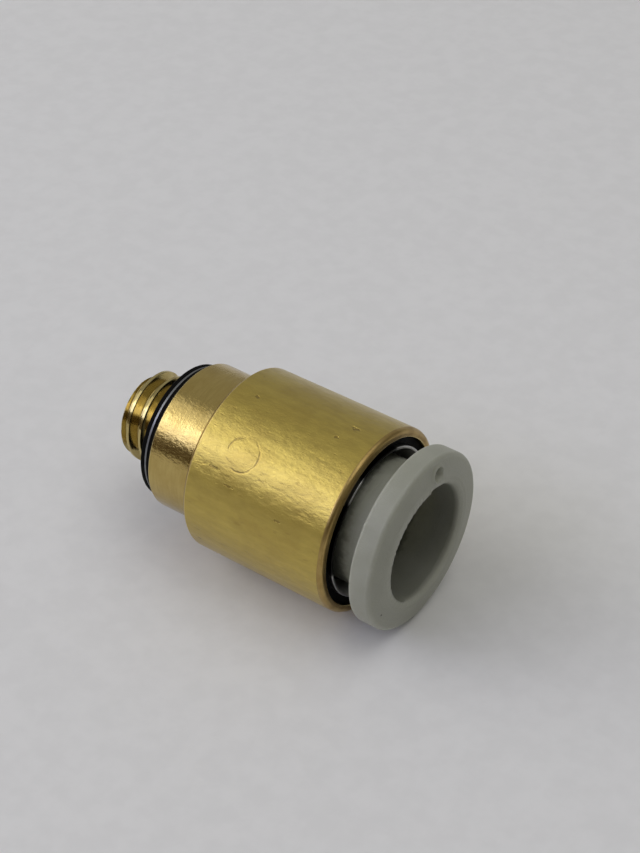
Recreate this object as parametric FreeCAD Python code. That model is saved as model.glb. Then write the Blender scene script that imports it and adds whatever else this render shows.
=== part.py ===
import FreeCAD, Part
import math
import os

# Push-to-connect fitting: M5 male thread at one end, a 6 mm tube port with a release button at the other.
# Every piece is turned, moulded or stamped around one axis, so most of them are a revolved section.
# Frame, in millimetres: +X runs along the axis from the thread to the tube port, and +Z is up.
# The origin is on the axis, in the plane where the gasket meets the port that the stud screws into.

# M5 x 0.8 stud
THREAD_MAJOR_R = 2.48
THREAD_MINOR_R = 2.02
THREAD_PITCH = 0.8
THREAD_ROOT_FLAT = 0.12
THREAD_FLANK_DEG = 30.0
FIRST_CREST = 0.52
STUD_LENGTH = 3.31
STUD_CHAMFER = 0.33
RELIEF_LENGTH = 0.83
FLOW_R = 1.1
KEY_ACROSS_FLATS = 2.5
KEY_DEPTH = 2.6
KEY_COUNTERSINK = 0.2

# Bonded gasket: a steel washer with a rubber layer on each side
GASKET_R = 3.72
GASKET_BORE_R = 2.56
WASHER_BORE_R = 2.2
OUTER_RUBBER = 0.22
WASHER_THICKNESS = 0.12
INNER_RUBBER = 0.35

# One-piece brass body
SHOULDER_R = 4.04
SHOULDER_LENGTH = 3.01
SHOULDER_CHAMFER = 0.12
BARREL_R = 5.0
BARREL_LENGTH = 8.6
BARREL_REAR_CHAMFER = 0.2
BARREL_FRONT_ROUND = 0.25

# Stepped bore, with each depth counted from the barrel's rear face
TUBE_SEAT_R = 3.07
TUBE_STOP_DEPTH = -1.7
SEAL_BORE_R = 4.12
SEAL_SEAT_DEPTH = 1.3
GUIDE_BORE_R = 4.3
CHUCK_SEAT_DEPTH = 6.0
MOUTH_R = 4.54
COLLAR_SEAT_DEPTH = 7.9
BORE_CHAMFER = 0.1

# Lip seal, the washer behind it and the centring cone, packed into the seal bore
SEAL_LENGTH = 1.75
SEAL_LIP_R = 2.93
BACKUP_THICKNESS = 0.3
BACKUP_BORE_R = 3.2
CONE_LENGTH = 0.35
CONE_BORE_R = 3.15
CONE_MOUTH_R = 3.55

# Stamped chuck: a ring and ten flat claws that lean in
CHUCK_RING_BORE_R = 3.8
CHUCK_RING_THICKNESS = 0.4
CLAW_COUNT = 10
CLAW_ROOT_WIDTH = 2.0
CLAW_TIP_WIDTH = 1.5
CLAW_THICKNESS = 0.18
CLAW_LENGTH = 2.0
CLAW_ROOT_R = 3.85
CLAW_ROOT_SETBACK = 0.15
CLAW_TIP_R = 2.9
CLAW_TIP_HORN = 0.1

# Steel guide and the black collar that locks it into the mouth
GUIDE_R = 4.08
GUIDE_FOOT_LENGTH = 0.3
GUIDE_CHAMBER_R = 3.85
GUIDE_THROAT_R = 3.5
GUIDE_THROAT_LENGTH = 0.15
GUIDE_CHAMBER_LENGTH = 1.3
GUIDE_LIP_R = 3.95
GUIDE_LIP_ROUND = 0.06
COLLAR_RECESS = 0.25

# Release button
BUTTON_GAP = 1.41
BUTTON_TRAVEL = 1.1
FLANGE_R = 4.78
FLANGE_THICKNESS = 1.38
FLANGE_FRONT_ROUND = 0.18
FLANGE_BACK_ROUND = 0.15
NECK_R = 3.4
NECK_FILLET = 0.45
BUTTON_BORE_R = 3.1
BORE_LEAD_IN = 0.35
BEAD_R = 3.72
BEAD_LENGTH = 0.4
BEAD_PLAY = 0.05
BEAD_RAMP = 0.3
NOSE_TIP_R = 3.25
NOSE_TAPER = 0.4
NOSE_TO_CLAW_ROOT = 0.67
LEG_SLOTS = 4
LEG_SLOT_WIDTH = 0.5

# Places along X that follow from the lengths above
GASKET_THICKNESS = OUTER_RUBBER + WASHER_THICKNESS + INNER_RUBBER
SHOULDER_X = GASKET_THICKNESS
STUD_TIP_X = SHOULDER_X - STUD_LENGTH
BARREL_X = SHOULDER_X + SHOULDER_LENGTH
MOUTH_X = BARREL_X + BARREL_LENGTH
TUBE_STOP_X = BARREL_X + TUBE_STOP_DEPTH
SEAL_SEAT_X = BARREL_X + SEAL_SEAT_DEPTH
CHUCK_SEAT_X = BARREL_X + CHUCK_SEAT_DEPTH
COLLAR_SEAT_X = BARREL_X + COLLAR_SEAT_DEPTH
BACKUP_X = SEAL_SEAT_X + SEAL_LENGTH
CONE_X = BACKUP_X + BACKUP_THICKNESS
CLAW_ROOT_X = CHUCK_SEAT_X - CLAW_ROOT_SETBACK
GUIDE_X = CHUCK_SEAT_X + CHUCK_RING_THICKNESS
THROAT_X = GUIDE_X + GUIDE_CHAMBER_LENGTH
FLANGE_X = MOUTH_X + BUTTON_GAP
FACE_X = FLANGE_X + FLANGE_THICKNESS
BEAD_X = THROAT_X - BEAD_PLAY
NOSE_X = CLAW_ROOT_X - NOSE_TO_CLAW_ROOT

AXIS = FreeCAD.Vector(1, 0, 0)
ORIGIN = FreeCAD.Vector(0, 0, 0)


def section_point(x, r):
    """A point of a section: x along the axis, r out from it."""
    return FreeCAD.Vector(x, 0, r)


def rounded_corner(before, corner, after, radius):
    """The tangent arc that rounds a corner, as its start, middle and end points."""
    to_before = (before - corner).normalize()
    to_after = (after - corner).normalize()
    half_angle = to_before.getAngle(to_after) / 2
    inward = (to_before + to_after).normalize()
    reach = radius / math.tan(half_angle)
    centre = corner + inward * (radius / math.sin(half_angle))
    return corner + to_before * reach, centre - inward * radius, corner + to_after * reach


def section_face(corners):
    """A flat face from corners (x, r), or (x, r, radius) where the corner is rounded."""
    points = [section_point(c[0], c[1]) for c in corners]
    edges = []
    ends = []
    for i, corner in enumerate(corners):
        point = points[i]
        if len(corner) == 3:
            start, middle, end = rounded_corner(points[i - 1], point, points[(i + 1) % len(points)], corner[2])
            edges.append(Part.Arc(start, middle, end).toShape())
            ends.append((start, end))
        else:
            edges.append(None)
            ends.append((point, point))
    outline = []
    for i, arc in enumerate(edges):
        if arc is not None:
            outline.append(arc)
        leave = ends[i][1]
        arrive = ends[(i + 1) % len(ends)][0]
        if leave.distanceToPoint(arrive) > 1e-6:
            outline.append(Part.LineSegment(leave, arrive).toShape())
    return Part.Face(Part.Wire(Part.__sortEdges__(outline)))


def turned(corners):
    """A piece turned around the axis from its section."""
    return section_face(corners).revolve(ORIGIN, AXIS, 360)


def hexagon_prism(across_flats, x_start, x_end):
    """A hexagonal prism along the axis."""
    corner_r = across_flats / math.sqrt(3)
    corners = []
    for i in range(7):
        angle = math.radians(60 * i)
        corners.append(FreeCAD.Vector(x_start, corner_r * math.cos(angle), corner_r * math.sin(angle)))
    return Part.Face(Part.makePolygon(corners)).extrude(FreeCAD.Vector(x_end - x_start, 0, 0))


def thread_groove():
    """The V groove of the thread: a trapezoid swept along a right-hand helix, from off the tip into the relief.

    FIRST_CREST is how far the first crest stands from the tip, seen from the top.
    """
    half_root = THREAD_ROOT_FLAT / 2
    overshoot = 0.15
    half_top = half_root + (THREAD_MAJOR_R + overshoot - THREAD_MINOR_R) * math.tan(math.radians(THREAD_FLANK_DEG))
    start_x = STUD_TIP_X + FIRST_CREST - 2 * THREAD_PITCH
    run_out_x = SHOULDER_X - RELIEF_LENGTH / 2
    helix = Part.makeLongHelix(THREAD_PITCH, run_out_x - start_x, THREAD_MINOR_R)
    outline = Part.makePolygon([
        FreeCAD.Vector(THREAD_MINOR_R, 0, -half_root),
        FreeCAD.Vector(THREAD_MAJOR_R + overshoot, 0, -half_top),
        FreeCAD.Vector(THREAD_MAJOR_R + overshoot, 0, half_top),
        FreeCAD.Vector(THREAD_MINOR_R, 0, half_root),
        FreeCAD.Vector(THREAD_MINOR_R, 0, -half_root),
    ])
    groove = Part.Wire(helix.Edges).makePipeShell([outline], True, True)
    groove.rotate(ORIGIN, FreeCAD.Vector(0, 1, 0), 90)
    groove.translate(FreeCAD.Vector(start_x, 0, 0))
    return groove


def body():
    """Brass body: stud, shoulder and barrel in one piece, with the stepped bore and the key socket."""
    relief_x = SHOULDER_X - RELIEF_LENGTH
    blank = turned([
        (STUD_TIP_X, FLOW_R),
        (STUD_TIP_X, THREAD_MAJOR_R - STUD_CHAMFER),
        (STUD_TIP_X + STUD_CHAMFER, THREAD_MAJOR_R),
        (relief_x - THREAD_MAJOR_R + THREAD_MINOR_R, THREAD_MAJOR_R),
        (relief_x, THREAD_MINOR_R),
        (SHOULDER_X, THREAD_MINOR_R),
        (SHOULDER_X, SHOULDER_R - SHOULDER_CHAMFER),
        (SHOULDER_X + SHOULDER_CHAMFER, SHOULDER_R),
        (BARREL_X, SHOULDER_R),
        (BARREL_X, BARREL_R - BARREL_REAR_CHAMFER),
        (BARREL_X + BARREL_REAR_CHAMFER, BARREL_R),
        (MOUTH_X, BARREL_R, BARREL_FRONT_ROUND),
        (MOUTH_X, MOUTH_R),
        (COLLAR_SEAT_X, MOUTH_R),
        (COLLAR_SEAT_X, GUIDE_BORE_R),
        (CHUCK_SEAT_X, GUIDE_BORE_R),
        (CHUCK_SEAT_X, SEAL_BORE_R),
        (SEAL_SEAT_X, SEAL_BORE_R),
        (SEAL_SEAT_X, TUBE_SEAT_R + BORE_CHAMFER),
        (SEAL_SEAT_X - BORE_CHAMFER, TUBE_SEAT_R),
        (TUBE_STOP_X, TUBE_SEAT_R),
        (TUBE_STOP_X, FLOW_R),
    ])
    socket = hexagon_prism(KEY_ACROSS_FLATS, TUBE_STOP_X - KEY_DEPTH, TUBE_STOP_X + 1)
    countersink_r = KEY_ACROSS_FLATS / math.sqrt(3) + KEY_COUNTERSINK / 2
    countersink = Part.makeCone(countersink_r - KEY_COUNTERSINK, countersink_r, KEY_COUNTERSINK,
                                FreeCAD.Vector(TUBE_STOP_X - KEY_COUNTERSINK, 0, 0), AXIS)
    return blank.cut(socket.fuse(countersink)).cut(thread_groove())


def gasket_layer(x_start, thickness, bore_r):
    """One flat ring of the gasket."""
    return turned([
        (x_start, bore_r),
        (x_start, GASKET_R),
        (x_start + thickness, GASKET_R),
        (x_start + thickness, bore_r),
    ])


def tube_seal():
    """Rubber lip seal: a U section open towards the pressure, with its inner lip reaching in to the tube."""
    end_x = SEAL_SEAT_X + SEAL_LENGTH
    start_x = SEAL_SEAT_X + 0.05
    groove_x = SEAL_SEAT_X + 1.0
    return turned([
        (start_x, SEAL_BORE_R - 0.27),
        (start_x, SEAL_BORE_R),
        (end_x, SEAL_BORE_R),
        (end_x, SEAL_LIP_R + 0.37),
        (groove_x + 0.05, SEAL_LIP_R, 0.12),
        (SEAL_SEAT_X + 0.75, SEAL_LIP_R, 0.12),
        (SEAL_SEAT_X + 0.45, SEAL_LIP_R + 0.19),
        (groove_x, SEAL_LIP_R + 0.52, 0.08),
        (groove_x, SEAL_BORE_R - 0.42, 0.08),
    ])


def backup_washer():
    """Flat washer that stops the seal from being pushed into the claws."""
    return turned([
        (BACKUP_X, BACKUP_BORE_R),
        (BACKUP_X, SEAL_BORE_R),
        (CONE_X, SEAL_BORE_R),
        (CONE_X, BACKUP_BORE_R),
    ])


def centring_cone():
    """Ring with a tapered mouth that centres the tube on the seal."""
    return turned([
        (CONE_X, CONE_BORE_R),
        (CONE_X, SEAL_BORE_R),
        (CONE_X + CONE_LENGTH, SEAL_BORE_R),
        (CONE_X + CONE_LENGTH, CONE_MOUTH_R),
    ])


def chuck_ring():
    """The chuck's ring, clamped between the body's step and the guide."""
    return turned([
        (CHUCK_SEAT_X, CHUCK_RING_BORE_R),
        (CHUCK_SEAT_X, GUIDE_BORE_R),
        (GUIDE_X, GUIDE_BORE_R),
        (GUIDE_X, CHUCK_RING_BORE_R),
    ])


def claw(turn_deg):
    """One claw, turned from the top by an angle about +X.

    It is a flat leaf that narrows from a rounded root to a tip. The tip is hollowed to the tube's curve, which
    leaves a horn at each side of it.
    """
    lean = math.asin((CLAW_ROOT_R - CLAW_TIP_R) / CLAW_LENGTH)
    along = FreeCAD.Vector(-math.cos(lean), 0, -math.sin(lean))
    across = FreeCAD.Vector(math.sin(lean), 0, -math.cos(lean)) * (CLAW_THICKNESS / 2)
    root = section_point(CLAW_ROOT_X, CLAW_ROOT_R)
    tip = root + along * (CLAW_LENGTH + CLAW_TIP_HORN)
    root_round = Part.Arc(root - across, root - along * (CLAW_THICKNESS / 2), root + across).toShape()
    sides = Part.makePolygon([root + across, tip + across, tip - across, root - across])
    leaf = Part.Face(Part.Wire([root_round] + sides.Edges))
    leaf.translate(FreeCAD.Vector(0, -CLAW_ROOT_WIDTH / 2, 0))
    leaf = leaf.extrude(FreeCAD.Vector(0, CLAW_ROOT_WIDTH, 0))
    plan = Part.makePolygon([
        FreeCAD.Vector(root.x + CLAW_THICKNESS, -CLAW_ROOT_WIDTH / 2, 0),
        FreeCAD.Vector(root.x + CLAW_THICKNESS, CLAW_ROOT_WIDTH / 2, 0),
        FreeCAD.Vector(tip.x, CLAW_TIP_WIDTH / 2, 0),
        FreeCAD.Vector(tip.x, -CLAW_TIP_WIDTH / 2, 0),
        FreeCAD.Vector(root.x + CLAW_THICKNESS, -CLAW_ROOT_WIDTH / 2, 0),
    ])
    leaf = leaf.common(Part.Face(plan).extrude(FreeCAD.Vector(0, 0, BARREL_R)))
    tube_space = Part.makeCylinder(CLAW_TIP_R, BARREL_LENGTH, FreeCAD.Vector(BARREL_X, 0, 0), AXIS)
    leaf = leaf.cut(tube_space)
    leaf.rotate(ORIGIN, AXIS, turn_deg)
    return leaf


def guide_sleeve():
    """Steel guide: a foot on the chuck, a chamber for the button's bead, a throat that keeps it in, and a thin lip."""
    return turned([
        (GUIDE_X, GUIDE_CHAMBER_R),
        (GUIDE_X, GUIDE_BORE_R),
        (GUIDE_X + GUIDE_FOOT_LENGTH, GUIDE_BORE_R),
        (GUIDE_X + GUIDE_FOOT_LENGTH, GUIDE_R),
        (MOUTH_X, GUIDE_R, GUIDE_LIP_ROUND),
        (MOUTH_X, GUIDE_LIP_R, GUIDE_LIP_ROUND),
        (THROAT_X + GUIDE_THROAT_LENGTH, GUIDE_THROAT_R),
        (THROAT_X, GUIDE_THROAT_R),
        (THROAT_X, GUIDE_CHAMBER_R),
    ])


def guide_collar():
    """Black collar pressed in around the guide, set back a little from the mouth."""
    return turned([
        (GUIDE_X + GUIDE_FOOT_LENGTH, GUIDE_R),
        (GUIDE_X + GUIDE_FOOT_LENGTH, GUIDE_BORE_R),
        (COLLAR_SEAT_X, GUIDE_BORE_R),
        (COLLAR_SEAT_X, MOUTH_R),
        (MOUTH_X - COLLAR_RECESS, MOUTH_R),
        (MOUTH_X - COLLAR_RECESS, GUIDE_R),
    ])


def release_button():
    """Moulded button: flange, neck, snap bead and a nose that spreads the claws, split into legs by slots."""
    button = turned([
        (NOSE_X, BUTTON_BORE_R),
        (NOSE_X, NOSE_TIP_R),
        (NOSE_X + NOSE_TAPER, NECK_R),
        (BEAD_X - BEAD_LENGTH - BEAD_RAMP, NECK_R),
        (BEAD_X - BEAD_LENGTH, BEAD_R),
        (BEAD_X, BEAD_R),
        (BEAD_X, NECK_R),
        (FLANGE_X, NECK_R, NECK_FILLET),
        (FLANGE_X, FLANGE_R, FLANGE_BACK_ROUND),
        (FACE_X, FLANGE_R, FLANGE_FRONT_ROUND),
        (FACE_X, BUTTON_BORE_R, BORE_LEAD_IN),
    ])
    slot_length = THROAT_X - NOSE_X
    for i in range(LEG_SLOTS):
        slot = Part.makeBox(slot_length, LEG_SLOT_WIDTH, BEAD_R + 1,
                            FreeCAD.Vector(NOSE_X - 1e-3, -LEG_SLOT_WIDTH / 2, 0))
        slot.rotate(ORIGIN, AXIS, 45 + 360 / LEG_SLOTS * i)
        button = button.cut(slot)
    return button


def all_parts():
    """Every piece by its node name."""
    washer_x = OUTER_RUBBER
    inner_rubber_x = OUTER_RUBBER + WASHER_THICKNESS
    parts = {
        "body": body(),
        "gasket_outer_rubber": gasket_layer(0, OUTER_RUBBER, GASKET_BORE_R),
        "gasket_washer": gasket_layer(washer_x, WASHER_THICKNESS, WASHER_BORE_R),
        "gasket_inner_rubber": gasket_layer(inner_rubber_x, INNER_RUBBER, GASKET_BORE_R),
        "tube_seal": tube_seal(),
        "backup_washer": backup_washer(),
        "centring_cone": centring_cone(),
        "chuck_ring": chuck_ring(),
        "guide_sleeve": guide_sleeve(),
        "guide_collar": guide_collar(),
        "release_button": release_button(),
    }
    for i in range(CLAW_COUNT):
        parts[f"claw_{i + 1:02d}"] = claw(360 / CLAW_COUNT * i)
    return parts


os.makedirs("parts", exist_ok=True)
for name, shape in all_parts().items():
    shape.exportStep(f"parts/{name}.step")
    box = shape.optimalBoundingBox()
    print(f"{name}: {len(shape.Solids)} solid, valid {shape.isValid()}, {shape.Volume:.3f} mm3, "
          f"x {box.XMin:.2f} to {box.XMax:.2f}, z {box.ZMin:.2f} to {box.ZMax:.2f}")
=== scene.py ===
# %% [markdown]
# # A push-to-connect air fitting, finished for rendering
#
# The object is a small brass fitting, 17.7 mm long. An M5 stud screws it into a machine, and a plastic tube is
# pushed in at the other end, where a grey button lets the tube go again.
#
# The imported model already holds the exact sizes, the joints and the place of every piece. This lesson gives the
# pieces their finish: finer surfaces, rounded edges, thread, moulding marks, and materials made from nodes.
# The first cell loads that model as a frame that never moves. Everything after it is placed from the frame.

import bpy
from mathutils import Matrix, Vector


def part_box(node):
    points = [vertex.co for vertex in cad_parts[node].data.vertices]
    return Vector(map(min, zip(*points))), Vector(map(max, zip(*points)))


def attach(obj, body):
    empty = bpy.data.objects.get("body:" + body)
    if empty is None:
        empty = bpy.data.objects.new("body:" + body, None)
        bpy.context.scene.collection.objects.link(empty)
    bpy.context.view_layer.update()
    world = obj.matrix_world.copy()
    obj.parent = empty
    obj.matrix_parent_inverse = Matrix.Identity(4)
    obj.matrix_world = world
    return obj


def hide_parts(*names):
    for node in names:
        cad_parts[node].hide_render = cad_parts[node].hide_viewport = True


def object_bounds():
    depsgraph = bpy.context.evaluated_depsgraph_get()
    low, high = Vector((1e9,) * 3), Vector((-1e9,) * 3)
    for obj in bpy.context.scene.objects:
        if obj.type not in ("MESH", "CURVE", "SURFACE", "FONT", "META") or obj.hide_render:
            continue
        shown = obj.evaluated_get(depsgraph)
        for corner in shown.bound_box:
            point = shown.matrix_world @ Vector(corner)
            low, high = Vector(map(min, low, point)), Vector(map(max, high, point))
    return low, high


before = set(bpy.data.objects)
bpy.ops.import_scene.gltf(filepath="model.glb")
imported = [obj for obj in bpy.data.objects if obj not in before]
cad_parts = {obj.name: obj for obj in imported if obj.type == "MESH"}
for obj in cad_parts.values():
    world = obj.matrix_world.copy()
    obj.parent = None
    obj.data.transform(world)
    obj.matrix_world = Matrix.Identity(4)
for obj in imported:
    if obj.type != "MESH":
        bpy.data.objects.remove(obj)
cad_box = [list(corner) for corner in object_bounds()]

import math

import bmesh
import bpy
import numpy as np
from mathutils import Matrix, Vector

MM = 0.001

# %% [markdown]
# ## Sizes that come from the frame
#
# Each node's box gives where it starts and ends along the axis, and how far it reaches from the axis. Nearly every
# size that this lesson needs is one of those, so a change of the CAD model carries through to the finished pieces.
# All sizes are kept in millimetres, and turned into metres when a mesh is made.

# %% Read the sizes
def extent(node):
    """Start, end and outer radius of a node, in mm: its box along X, and its highest point above the axis."""
    low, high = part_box(node)
    return low.x / MM, high.x / MM, high.z / MM


STUD_TIP_X, MOUTH_X, BARREL_R = extent("body")
SHOULDER_X = extent("gasket_inner_rubber")[1]
SEAL_X, SEAL_END_X, SEAL_BORE_R = extent("tube_seal")
BACKUP_X, CONE_X, _ = extent("backup_washer")
CONE_END_X = extent("centring_cone")[1]
CHUCK_X, GUIDE_X, GUIDE_BORE_R = extent("chuck_ring")
COLLAR_X, COLLAR_FRONT_X, MOUTH_R = extent("guide_collar")
NOSE_X, FACE_X, FLANGE_R = extent("release_button")
print(f"stud tip {STUD_TIP_X:.2f}, shoulder {SHOULDER_X:.2f}, mouth {MOUTH_X:.2f}, button face {FACE_X:.2f} mm")

# %% [markdown]
# The boxes say nothing about steps and bores that lie inside a piece, so those are named here. They repeat the
# CAD model's values.

# %% Name the sizes inside the pieces
STUD_R = 2.48
THREAD_ROOT_R = 2.02
THREAD_PITCH = 0.8
THREAD_ROOT_FLAT = 0.12
THREAD_FLANK = math.radians(30)
FIRST_CREST = 0.52
STUD_CHAMFER = 0.33
RELIEF_LENGTH = 0.83
FLOW_R = 1.1
KEY_HALF_FLATS = 1.25
KEY_DEPTH = 2.6
KEY_COUNTERSINK = 0.2

SHOULDER_R = 4.04
SHOULDER_CHAMFER = 0.12
BARREL_X = SHOULDER_X + 3.01
TUBE_STOP_X = BARREL_X - 1.7
TUBE_SEAT_R = 3.07
SEAL_SEAT_X = SEAL_X - 0.05
COLLAR_SEAT_X = BARREL_X + 7.9

GUIDE_R = 4.08
GUIDE_LIP_R = 3.95
THROAT_R = 3.5
CHAMBER_R = 3.85
THROAT_X = GUIDE_X + 1.3

FLANGE_X = FACE_X - 1.38
NECK_R = 3.4
BUTTON_BORE_R = 3.1
BEAD_R = 3.72
BEAD_X = THROAT_X - 0.05
LEG_SLOT_HALF_WIDTH = 0.25
BORE_LEAD_IN = 0.35
print(f"barrel {BARREL_X:.2f} to {MOUTH_X:.2f} mm, throat at {THROAT_X:.2f} mm, flange back at {FLANGE_X:.2f} mm")

# %% [markdown]
# ## Camera
#
# The camera stands in front and to the right, about forty degrees above the table, a hand's width away. Its place
# is worked out from the azimuth and the elevation: two unit vectors span the picture, and a third points from the
# object to the lens. The aim is measured from the middle of the barrel's rear face along those vectors.

# %% Make the camera
CAMERA_AZIMUTH = math.radians(35.55)
CAMERA_ELEVATION = math.radians(39.58)
CAMERA_DISTANCE = 98.29
AIM_RIGHT = 4.056
AIM_UP = 1.549
LENS_LENGTH = 80.17


def camera_axes(azimuth, elevation):
    """Right, up and backward unit vectors of a camera that stands at this azimuth and elevation."""
    right = Vector((math.cos(azimuth), math.sin(azimuth), 0))
    backward = Vector((math.sin(azimuth) * math.cos(elevation), -math.cos(azimuth) * math.cos(elevation),
                       math.sin(elevation)))
    return right, backward.cross(right), backward


right, up, backward = camera_axes(CAMERA_AZIMUTH, CAMERA_ELEVATION)
lens_place = Vector((BARREL_X, 0, 0)) + right * AIM_RIGHT + up * AIM_UP + backward * CAMERA_DISTANCE
camera_data = bpy.data.cameras.new("camera")
camera_data.lens = LENS_LENGTH
camera_data.sensor_width = 36
camera_data.clip_start = 5 * MM
camera_data.clip_end = 10
camera = bpy.data.objects.new("camera", camera_data)
camera.matrix_world = Matrix.Translation(lens_place * MM) @ Matrix((right, up, backward)).transposed().to_4x4()
bpy.context.scene.collection.objects.link(camera)
bpy.context.scene.camera = camera
bpy.context.scene.view_settings.view_transform = "Standard"
print("camera at", [round(v, 1) for v in lens_place], "mm")

# %% [markdown]
# ## Node helpers
#
# A material is a tree of nodes, and writing it by hand means the same three calls again and again. One helper
# makes a node, sets its own settings, and fills its sockets with either a value or another node's output.

# %% Write the node helpers
def node(tree, kind, inputs=None, **settings):
    """Adds one node. Settings are its properties; inputs map a socket's name or number to a value or an output."""
    made = tree.nodes.new(kind)
    for key, value in settings.items():
        setattr(made, key, value)
    for socket, value in (inputs or {}).items():
        if isinstance(value, bpy.types.NodeSocket):
            tree.links.new(value, made.inputs[socket])
        else:
            made.inputs[socket].default_value = value
    return made


def maths(tree, operation, first, second=0.0, clamp=False):
    """The output of a Math node."""
    return node(tree, "ShaderNodeMath", {0: first, 1: second}, operation=operation, use_clamp=clamp).outputs[0]


def vector_maths(tree, operation, first, second=(0, 0, 0)):
    """The vector output of a Vector Math node."""
    return node(tree, "ShaderNodeVectorMath", {0: first, 1: second}, operation=operation).outputs["Vector"]


def ramp(tree, value, low, high, to_low=0.0, to_high=1.0):
    """A smooth step: to_low below low, to_high above high."""
    made = node(tree, "ShaderNodeMapRange", {"Value": value, "From Min": low, "From Max": high, "To Min": to_low,
                                             "To Max": to_high}, interpolation_type="SMOOTHSTEP")
    return made.outputs["Result"]


def blend(tree, factor, first, second):
    """The colour that lies between two colours."""
    made = node(tree, "ShaderNodeMix", data_type="RGBA")
    for socket, value in (("Factor_Float", factor), ("A_Color", first), ("B_Color", second)):
        slot = next(s for s in made.inputs if s.identifier == socket)
        if isinstance(value, bpy.types.NodeSocket):
            tree.links.new(value, slot)
        else:
            slot.default_value = value
    return next(s for s in made.outputs if s.identifier == "Result_Color")


def colour(red, green, blue):
    """A linear colour with full alpha."""
    return (red, green, blue, 1.0)


print("node helpers ready")

# %% [markdown]
# ## Light and floor
#
# The real thing lies on white paper in a plain room. Two soft panels stand to the left of the camera, one over the
# other, and the barrel shows both as bright bands. A window further left and a lamp overhead brighten the paper,
# and the barrel mirrors neither of them towards the camera. The ceiling is even and dim, dimmer on the side of the
# tube port, and whoever holds the camera is a dark patch low down in front. Polished metal shows all of this, so
# the dark patch matters as much as the light does.
#
# The room could be built from cards. A world shader does the same with less: it looks at the direction that a ray
# leaves in, and gives back how bright the room is there.

# %% Make the room
ROOM = bpy.data.worlds.new("studio")
bpy.context.scene.world = ROOM
ROOM.use_nodes = True
room_tree = ROOM.node_tree
room_tree.nodes.clear()
direction = node(room_tree, "ShaderNodeSeparateXYZ",
                 {"Vector": node(room_tree, "ShaderNodeTexCoord").outputs["Generated"]}).outputs
CEILING = 0.365
FAR_SIDE = 0.20
DARK_FRONT = 0.10
toward_port = ramp(room_tree, direction["X"], -0.25, 0.55)
ceiling_level = ramp(room_tree, toward_port, 0.0, 1.0, CEILING, FAR_SIDE)
in_front = ramp(room_tree, direction["Y"], 0.0, -0.45)
near_horizon = ramp(room_tree, direction["Z"], 0.42, 0.30)
dark_share = maths(room_tree, "MULTIPLY", in_front, near_horizon)
lit_share = maths(room_tree, "SUBTRACT", 1.0, maths(room_tree, "MULTIPLY", dark_share, 1 - DARK_FRONT / CEILING))
room_level = maths(room_tree, "MULTIPLY", ceiling_level, lit_share)
room_tint = blend(room_tree, dark_share, colour(1.0, 0.99, 0.95), colour(1.0, 0.78, 0.55))
room_shader = node(room_tree, "ShaderNodeBackground", {"Color": room_tint, "Strength": room_level})
node(room_tree, "ShaderNodeOutputWorld", {"Surface": room_shader.outputs[0]})
print("room: ceiling", CEILING, "far side", FAR_SIDE, "dark patch", DARK_FRONT)

# %% Make the lights
def soft_light(name, toward, distance, width, height, radiance, tint):
    """A flat rectangular light that faces the object. Radiance is how bright its surface looks."""
    data = bpy.data.lights.new(name, "AREA")
    data.shape = "RECTANGLE"
    data.size = width
    data.size_y = height
    data.energy = radiance * math.pi * width * height
    data.color = tint
    made = bpy.data.objects.new(name, data)
    away = Vector(toward).normalized()
    made.location = away * distance
    made.rotation_mode = "QUATERNION"
    made.rotation_quaternion = away.to_track_quat("Z", "Y")
    bpy.context.scene.collection.objects.link(made)
    return made


def across_barrel(angle):
    """A direction that the barrel mirrors towards the camera, at an angle above the table in front."""
    tilt = math.sin(CAMERA_AZIMUTH) * math.cos(CAMERA_ELEVATION)
    rest = math.sqrt(1 - tilt ** 2)
    return -tilt, -rest * math.cos(math.radians(angle)), rest * math.sin(math.radians(angle))


lower_panel = soft_light("lower_panel", across_barrel(39), 0.45, 0.36, 0.145, 1.76, (0.96, 0.98, 1.36))
upper_panel = soft_light("upper_panel", across_barrel(62), 0.45, 0.36, 0.20, 0.72, (0.98, 0.99, 1.05))
window = soft_light("window", (-0.80, -0.34, 0.49), 0.5, 0.34, 0.34, 1.38, (1.0, 0.995, 0.98))
lamp = soft_light("lamp", (0.30, 0.15, 0.94), 0.6, 0.5, 0.4, 1.08, (1.0, 0.995, 0.98))
print("lights:", lower_panel.name, upper_panel.name, window.name, lamp.name)

# %% [markdown]
# The floor is a sheet of paper: one plane at the height of the object's lowest point. Its material has a little
# mottling in colour and height, because an even grey looks like plastic.

# %% Lay the floor
FLOOR_HALF = 0.5
floor_z = cad_box[0][2]
floor_mesh = bpy.data.meshes.new("paper")
floor_mesh.from_pydata([(x * FLOOR_HALF, y * FLOOR_HALF, floor_z) for x, y in ((-1, -1), (1, -1), (1, 1), (-1, 1))],
                       [], [(0, 1, 2, 3)])
floor = bpy.data.objects.new("paper", floor_mesh)
bpy.context.scene.collection.objects.link(floor)
paper = bpy.data.materials.new("paper")
paper.use_nodes = True
paper_tree = paper.node_tree
paper_tree.nodes.clear()
paper_place = node(paper_tree, "ShaderNodeTexCoord").outputs["Object"]
paper_clouds = node(paper_tree, "ShaderNodeTexNoise", {"Vector": paper_place, "Scale": 900, "Detail": 3}).outputs[0]
paper_colour = blend(paper_tree, ramp(paper_tree, paper_clouds, 0.3, 0.7), colour(0.80, 0.797, 0.789),
                     colour(0.83, 0.827, 0.819))
paper_bump = node(paper_tree, "ShaderNodeBump", {"Height": paper_clouds, "Distance": 0.00002, "Strength": 0.4})
paper_shader = node(paper_tree, "ShaderNodeBsdfPrincipled",
                    {"Base Color": paper_colour, "Roughness": 0.75, "Specular IOR Level": 0.2,
                     "Normal": paper_bump.outputs[0]})
node(paper_tree, "ShaderNodeOutputMaterial", {"Surface": paper_shader.outputs[0]})
floor_mesh.materials.append(paper)
print("floor at", round(floor_z / MM, 2), "mm")

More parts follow.
